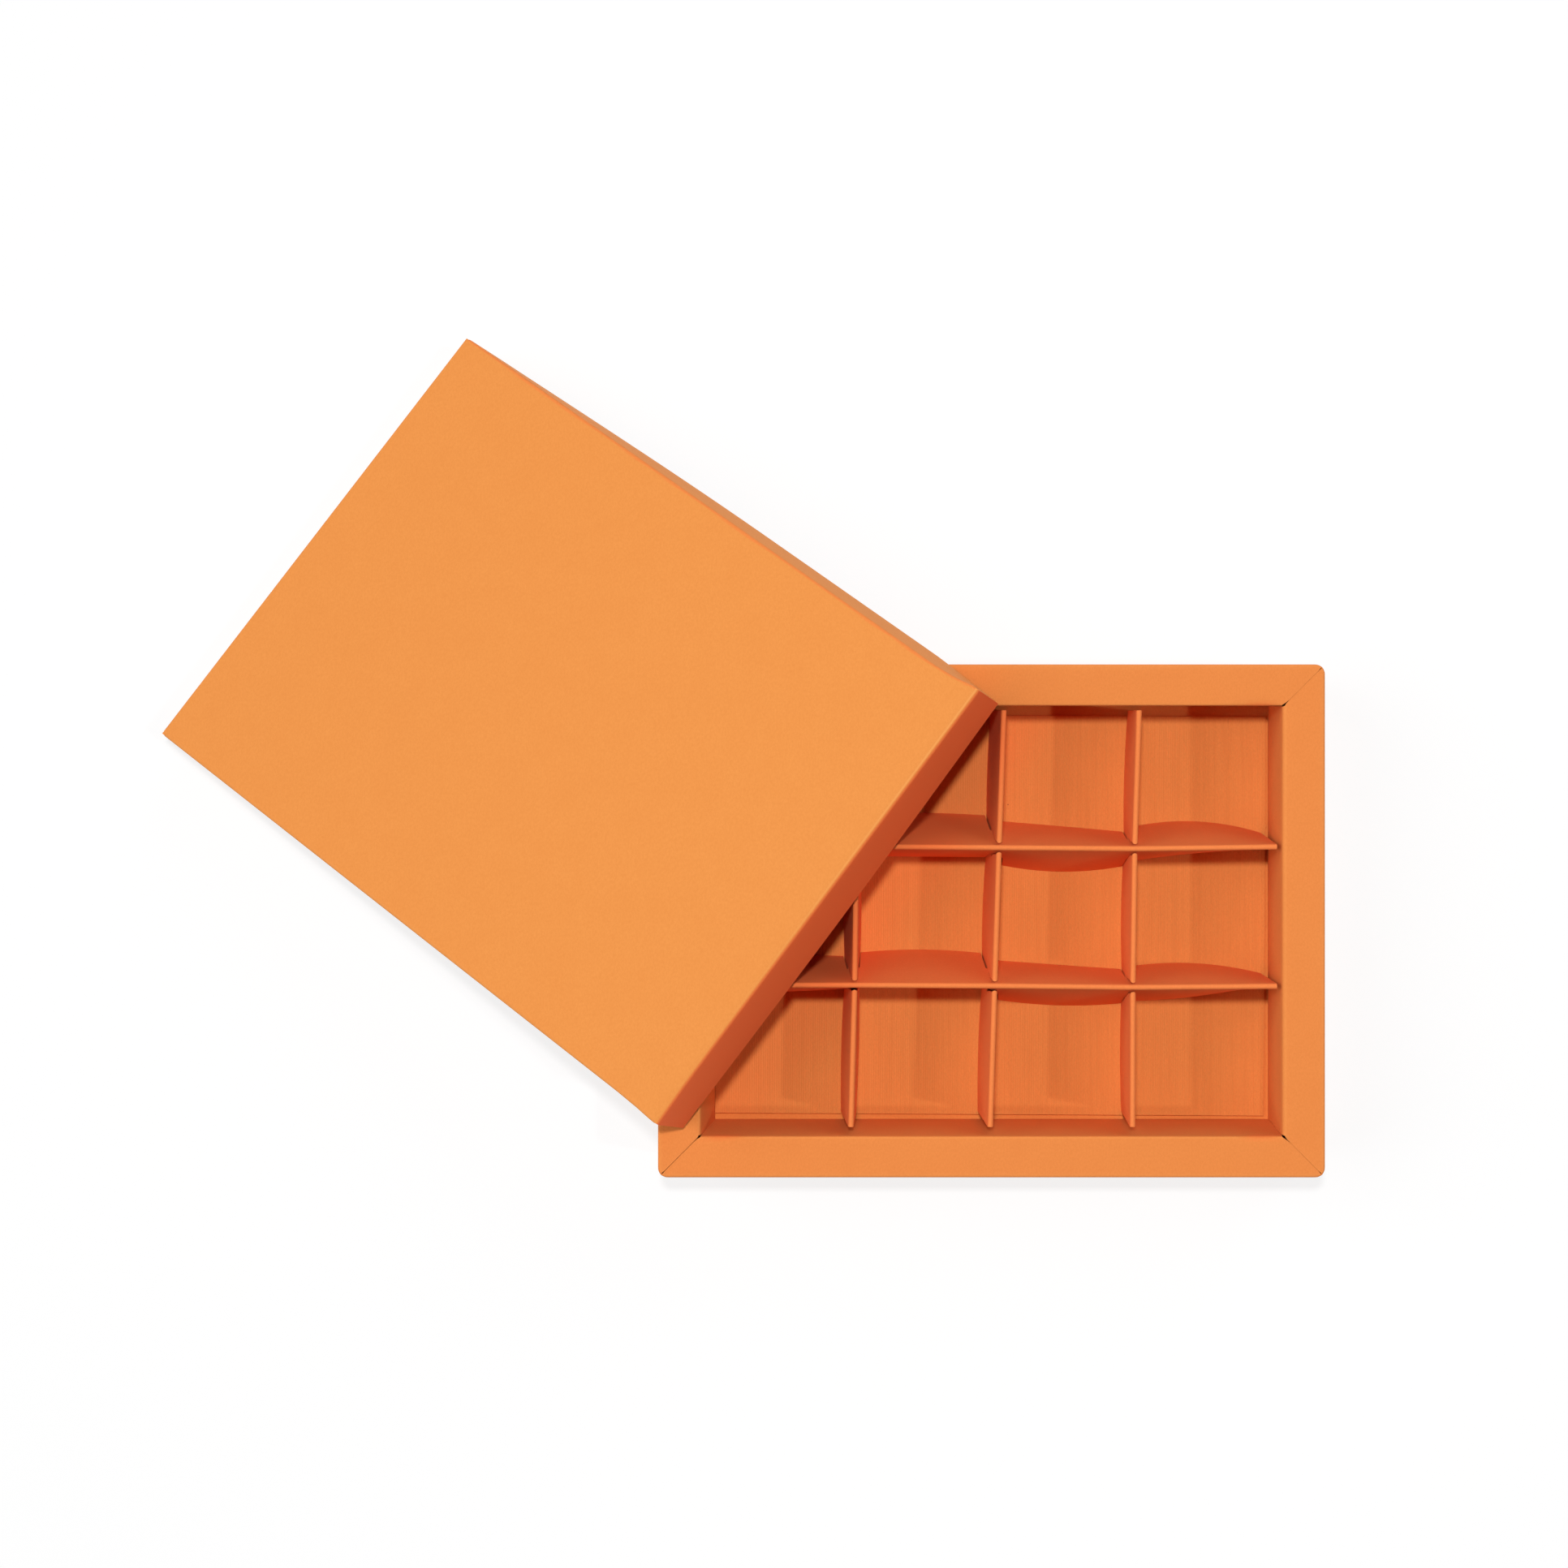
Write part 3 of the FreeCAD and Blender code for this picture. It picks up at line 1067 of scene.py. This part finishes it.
@dataclass
class Lid:
    """Shallow lid: panel and long walls in one, end walls folded over the tabs at the corners."""

    length: float = 184.0
    width: float = 140.5
    depth: float = 18.0
    flare: float = 0.5
    corner_radius: float = 1.0
    fold: float = 0.7
    wall_steps: int = 8
    fold_steps: int = 5
    rub: float = 0.2
    # Painted shade along the back wall's fold, as a share of the deeper red.
    back_crease_shade: float = -0.35
    # Painted highlight along the crest of the raised end, strongest towards its back corner.
    crest_highlight: float = 0.7
    tab_length: float = 16.0
    tab_rise: float = 1.5
    back_bow: float = 3.0
    back_bow_span: Pair = (-1.6, 0.1)
    back_tuck: float = 0.3
    back_tuck_span: Pair = (0.75, 1.0)
    front_bow: float = 0.8
    end_bow: float = 0.6
    end_inset: float = 1.5
    end_skew: float = 0.9
    skew_rise: float = 1 / 3
    end_droop: float = 0.35
    end_reach: float = 40.0
    droop_reach: float = 3.0
    back_ear: float = 1.5
    back_ear_power: float = 2.0
    front_ear: float = 0.55
    front_ear_power: float = 8.0
    ear_reach: float = 12.0
    far_drift: float = 1.75
    far_inset: float = 0.7
    far_skew: float = 1.7
    edge_short: float = 0.25
    turn: float = 36.25
    far_edge: Pair = (-187.0, 107.4)
    rest_from_far_edge: float = 167.5
    seat_gap: float = 0.25

    @property
    def tilt(self) -> float:
        """How far the lid leans, in radians."""
        return math.asin((BASE_HEIGHT + self.seat_gap) / self.rest_from_far_edge)

    @property
    def leaning(self) -> Matrix:
        """Place of the lid: far rim edge on the ground, back wall on the tray's back edge.

        Returns:
            The matrix from the lid's frame to the tray's.
        """
        turn = math.radians(self.turn)
        level = Vector((math.cos(turn), -math.sin(turn), 0.0))
        along = level * math.cos(self.tilt) + Vector((0.0, 0.0, math.sin(self.tilt)))
        across = Vector((math.sin(turn), math.cos(turn), 0.0))
        middle = Vector((*self.far_edge, 0.0)) + along * (self.length / 2 + self.flare)
        turned = Matrix((along, across, along.cross(across))).transposed().to_4x4()
        return Matrix.Translation(middle) @ turned

    @property
    def outline(self) -> Outline:
        """Outline of the panel with the long walls, inside the end walls' board."""
        return Outline(self.length / 2 - BOARD, self.width / 2, self.corner_radius)

    def wall(self, side: Side) -> list[Row]:
        """Grid of one wall from its rim over the fold to the panel.

        Args:
            side: Side of the lid.

        Returns:
            Its rows, in the lid's frame.
        """
        outline, fold_start = self.outline, self.depth - self.fold
        path = [(0.0, 0.0), *straight((0.0, 0.0), (0.0, fold_start), self.wall_steps)]
        path += arc((self.fold, fold_start), self.fold, OUTER, self.fold_steps)
        # The back wall's fold gets painted shade; the other folds are rubbed pale.
        fold_wear_and_shade = self.back_crease_shade if side is Side.BACK else self.rub
        rows = []
        for depth, height in path:
            half = outline.half_run(side) - depth
            wear_and_painted_light = fold_wear_and_shade if depth > 0 else 0.0
            rows.append([(outline.place(side, along, depth, height), wear_and_painted_light)
                         for along in spread(-half, half)])
        return rows

    def is_tab(self, place: Vector) -> bool:
        """Whether a place of a short wall is board: near the corners, and its fold only round them."""
        reach = 2 * self.corner_radius if place.z > self.depth - self.fold else self.tab_length
        return self.outline.half_width - abs(place.y) < reach and place.z > self.tab_rise / 2

    def shell(self) -> FoldedSheet:
        """Panel and long walls, which turn the corners and end as tabs inside the end walls.

        Returns:
            The sheet, in the lid's frame.
        """
        sheet = FoldedSheet()
        sheet.add_grid(self.outline.panel(self.fold, self.depth))
        for side in Side:
            rows = self.wall(side)

            def keep(i: int, j: int) -> bool:
                """Keep a long wall whole and a short one where it is a tab."""
                return side.is_long or self.is_tab((rows[i][j][0] + rows[i + 1][j + 1][0]) / 2)

            sheet.add_grid(rows, keep)
        return sheet

    def end_wall(self, end: int) -> FoldedSheet:
        """End wall folded down from the panel over the tabs, its side edges raw.

        Args:
            end: 1 for the raised end, -1 for the far end.

        Returns:
            The sheet, in the lid's frame.
        """
        reach, crest = self.length / 2, self.length / 2 - self.fold
        path = [(crest - BOARD, self.depth), (crest, self.depth)]
        path += arc((crest, self.depth - self.fold), self.fold, UPPER, self.fold_steps)
        path += straight(path[-1], (reach, 0.0), self.wall_steps)
        half = self.width / 2 - self.edge_short
        rows = []
        for out, height in path:
            # Painted shade on the raised end's wall, and a painted highlight along the crest above it.
            painted_shade = min(max((crest - out) / self.fold, -1.0), 0.0) if end > 0 else 0.0
            rub = self.crest_highlight if end > 0 and out <= crest else 0.0
            rows.append([
                (Vector((end * out, across, height)), painted_shade + rub * smooth_step(-half, half, across))
                for across in spread(-half, half)])
        sheet = FoldedSheet()
        sheet.add_grid(rows, flip=end > 0)
        return sheet

    def splay(self, point: Vector) -> Vector:
        """Spread the walls towards the rim; the back one bows out most, where the tray bears on it.

        Args:
            point: Point of the square lid, in its frame.

        Returns:
            The point on the spread wall.
        """
        along, across = 2 * point.x / self.length, 2 * point.y / self.width
        if across > 0:
            tuck = 1 - self.back_tuck * smooth_step(*self.back_tuck_span, along)
            bow = self.back_bow * smooth_step(*self.back_bow_span, along) * tuck
        else:
            bow = self.front_bow * math.cos(math.pi * along / 2)
        end_bow = self.end_bow * math.cos(math.pi * across / 2)
        out_x = along * (self.flare + end_bow * abs(along))
        out_y = across * (self.flare + bow * abs(across))
        return point + Vector((out_x, out_y, 0.0)) * (1 - point.z / self.depth)

    def ease(self, point: Vector) -> Vector:
        """Ease the raised end, soft and a little askew, back from its square place, its corners out.

        Args:
            point: Point of the lid, in its frame.

        Returns:
            The point where the end really lies.
        """
        from_end = self.length / 2 - point.x
        near = 1 - smooth_step(0.0, self.end_reach, from_end)
        height = point.z / self.depth
        askew = self.end_skew * (0.5 - point.y / self.width)
        back = near * (askew + (self.end_inset + askew * self.skew_rise) * height)
        droop = self.end_droop * height * max(1 - max(from_end, 0.0) / self.droop_reach, 0.0) ** 2
        out = 2 * point.y / self.width
        if out > 0:
            ear = Vector((0.0, self.back_ear, 0.0)) * out ** self.back_ear_power
        else:
            ear = Vector((self.front_ear, -self.front_ear, 0.0)) * (-out) ** self.front_ear_power
        near_end = height * (1 - smooth_step(0.0, self.ear_reach, from_end))
        return point + ear * near_end + Vector((-back, 0.0, -droop))

    def drift(self, point: Vector) -> Vector:
        """Rack the lid a little, level with the ground: its far end drifts to the front and lies askew.

        Args:
            point: Point of the lid, in its frame.

        Returns:
            The point where the racked board lies.
        """
        far = 0.5 - point.x / self.length
        inward = far * (self.far_inset + self.far_skew * 2 * point.y / self.width)
        level = Vector((math.cos(self.tilt), 0.0, -math.sin(self.tilt)))
        return point + level * inward - Vector((0.0, far * self.far_drift, 0.0))

    def build(self) -> list[FoldedSheet]:
        """Fold the lid and lean it on the tray.

        Returns:
            Its shell and its two end walls.
        """
        sheets = [self.shell(), self.end_wall(1), self.end_wall(-1)]
        leaning = self.leaning
        for sheet in sheets:
            sheet.points = [leaning @ self.drift(self.ease(self.splay(point))) for point in sheet.points]
        return sheets

    def dress(self, finish: Material) -> None:
        """Build the lid and put it on its body."""
        mesh = folded_mesh("lid_board", *self.build())
        stand_for("lid_board", mesh, finish, "lid")


@dataclass(frozen=True)
class FarLamp:
    """Far lamp: its share of the light, where that comes from, and how many degrees it spans.

    All shares are of the light that shows a colour as it is written.
    """

    name: str
    share: float
    direction: Triple
    angle: float

    def hang(self) -> None:
        """Put the lamp into the scene."""
        data = bpy.data.lights.new(self.name, "SUN")
        data.energy = self.share * math.pi
        data.angle = math.radians(self.angle)
        turn = Vector(self.direction).to_track_quat("Z", "Y")
        in_scene(self.name, data).rotation_euler = turn.to_euler()


@dataclass
class Studio:
    """Plain white set: floor, a lamp near the camera, far lamps, and a camera straight above."""

    floor_size: float = 6000.0
    floor_glow: float = 0.8
    glow_reach: Pair = (250.0, 700.0)
    key_share: float = 0.575
    key_place: Triple = (-12.0, 110.0, 705.0)
    key_radius: float = 22.0
    far_lamps: tuple[FarLamp, ...] = (
        FarLamp("right_window", share=0.14, direction=(0.551, -0.1, 0.828), angle=2.0),
        FarLamp("left_softbox", share=0.42, direction=(-0.76, 0.1, 0.64), angle=52.0),
        FarLamp("back_softbox", share=0.16, direction=(0.5, 0.75, 0.43), angle=40.0),
    )
    sky: float = 0.025
    image_size: float = 1932.0
    focal_pixels: float = 2600.0
    foot_pixel: Pair = (1190.0, 1020.0)
    eye: Triple = (-7.0, 25.4, 610.2)
    sensor: float = 36.0

    def key_lamp(self) -> None:
        """Hang a small round lamp near the camera that lights near and far things alike."""
        data = bpy.data.lights.new("overhead_key", "POINT")
        # With no falloff, this many watts per share light as brightly as a far lamp's share.
        data.energy = self.key_share * 4 * math.pi ** 2
        data.shadow_soft_size = self.key_radius * MM
        tree = empty_tree(data)
        even = add_node(tree, "ShaderNodeLightFalloff", inputs={"Strength": 1.0})
        glow = add_node(tree, "ShaderNodeEmission", inputs={"Strength": even.outputs["Constant"]})
        add_node(tree, "ShaderNodeOutputLight", inputs={"Surface": glow.outputs[0]})
        lamp = in_scene("overhead_key", data)
        lamp.location = Vector(self.key_place) * MM
        lamp.visible_camera = False

    def seen_directly(self, tree: NodeTree) -> NodeSocket:
        """Say whether a ray comes from the eye, a reflection or through glass.

        Args:
            tree: Tree that asks.

        Returns:
            Socket that is 1 for such rays.
        """
        path = add_node(tree, "ShaderNodeLightPath").outputs
        seen = path["Is Camera Ray"]
        for ray in ("Is Glossy Ray", "Is Transmission Ray"):
            seen = add_node(tree, "ShaderNodeMath", {"operation": "MAXIMUM"}, {
                0: seen, 1: path[ray]}).outputs[0]
        return seen

    def backdrop(self) -> None:
        """Surround the set with white that lights it only a little."""
        world = bpy.data.worlds.new("white_room")
        tree = empty_tree(world)
        strength = add_node(tree, "ShaderNodeMapRange", inputs={
            "Value": self.seen_directly(tree), "To Min": self.sky, "To Max": 1.0})
        glow = add_node(tree, "ShaderNodeBackground", inputs={
            "Color": Tone.BACKDROP.colour, "Strength": strength.outputs["Result"]})
        add_node(tree, "ShaderNodeOutputWorld", inputs={"Surface": glow.outputs[0]})
        bpy.context.scene.world = world

    def floor(self) -> None:
        """Lay a white floor that keeps a faint shadow."""
        half = self.floor_size / 2 * MM
        corners = [(-half, -half, 0.0), (half, -half, 0.0), (half, half, 0.0), (-half, half, 0.0)]
        mesh = bpy.data.meshes.new("floor")
        mesh.from_pydata(corners, [], [(0, 1, 2, 3)])
        paper = bpy.data.materials.new("white_paper_sweep")
        tree = empty_tree(paper)
        lit = add_node(tree, "ShaderNodeBsdfDiffuse", inputs={"Color": Tone.BACKDROP.colour})
        glow = add_node(tree, "ShaderNodeEmission", inputs={"Color": Tone.BACKDROP.colour})
        place = add_node(tree, "ShaderNodeTexCoord").outputs["Object"]
        away = add_node(tree, "ShaderNodeVectorMath", {"operation": "LENGTH"}, {0: place})
        near, far = self.glow_reach
        whiteness = add_node(tree, "ShaderNodeMapRange", inputs={
            "Value": away.outputs["Value"], "From Min": near * MM, "From Max": far * MM,
            "To Min": self.floor_glow, "To Max": 1.0})
        share = add_node(tree, "ShaderNodeMath", {"operation": "MULTIPLY"}, {
            0: self.seen_directly(tree), 1: whiteness.outputs["Result"]})
        mixed = add_node(tree, "ShaderNodeMixShader", inputs={
            0: share.outputs[0], 1: lit.outputs[0], 2: glow.outputs[0]})
        add_node(tree, "ShaderNodeOutputMaterial", inputs={"Surface": mixed.outputs[0]})
        mesh.materials.append(paper)
        floor = in_scene("floor", mesh)

    def camera(self) -> None:
        """Hang the camera straight above, off the picture's middle as the framing needs."""
        data = bpy.data.cameras.new("overhead")
        data.sensor_width = self.sensor
        data.lens = self.focal_pixels * self.sensor / self.image_size
        middle = self.image_size / 2
        data.shift_x = (middle - self.foot_pixel[0]) / self.image_size
        data.shift_y = (self.foot_pixel[1] - middle) / self.image_size
        camera = in_scene("overhead", data)
        camera.location = Vector(self.eye) * MM
        bpy.context.scene.camera = camera

    def build(self) -> None:
        """Set up floor, light and camera."""
        bpy.context.scene.view_settings.view_transform = "Standard"
        self.backdrop()
        self.floor()
        self.key_lamp()
        for lamp in self.far_lamps:
            lamp.hang()
        self.camera()
        log.info("studio: floor, %d lamps and camera", 1 + len(self.far_lamps))


def main() -> None:
    """Build the box piece by piece."""
    logging.basicConfig(level=logging.INFO, format="%(name)s %(message)s")
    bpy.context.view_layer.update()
    Studio().build()
    lid_board = BoardFinish("dyed_paperboard_lid", Tone.LID_FACE, Tone.LID_SHADE)
    tray_board = BoardFinish("dyed_paperboard_tray", Tone.TRAY_FACE, Tone.TRAY_SHADE)
    # The strips and the card get a share of painted shade near the leaning lid.
    strip_board = BoardFinish("dyed_paperboard_strips", Tone.STRIP_FACE, Tone.STRIP_SHADE, near_lid_shade=0.8)
    pad_card = CardFinish("ribbed_card_pad", Tone.CARD_FACE, Tone.CARD_SHADE, near_lid_shade=0.2)
    BaseTray().dress(tray_board.material())
    FloorPad().dress(pad_card.material())
    DividerCrate().dress(strip_board.material())
    Lid().dress(lid_board.material())


if __name__ == "__main__":
    main()
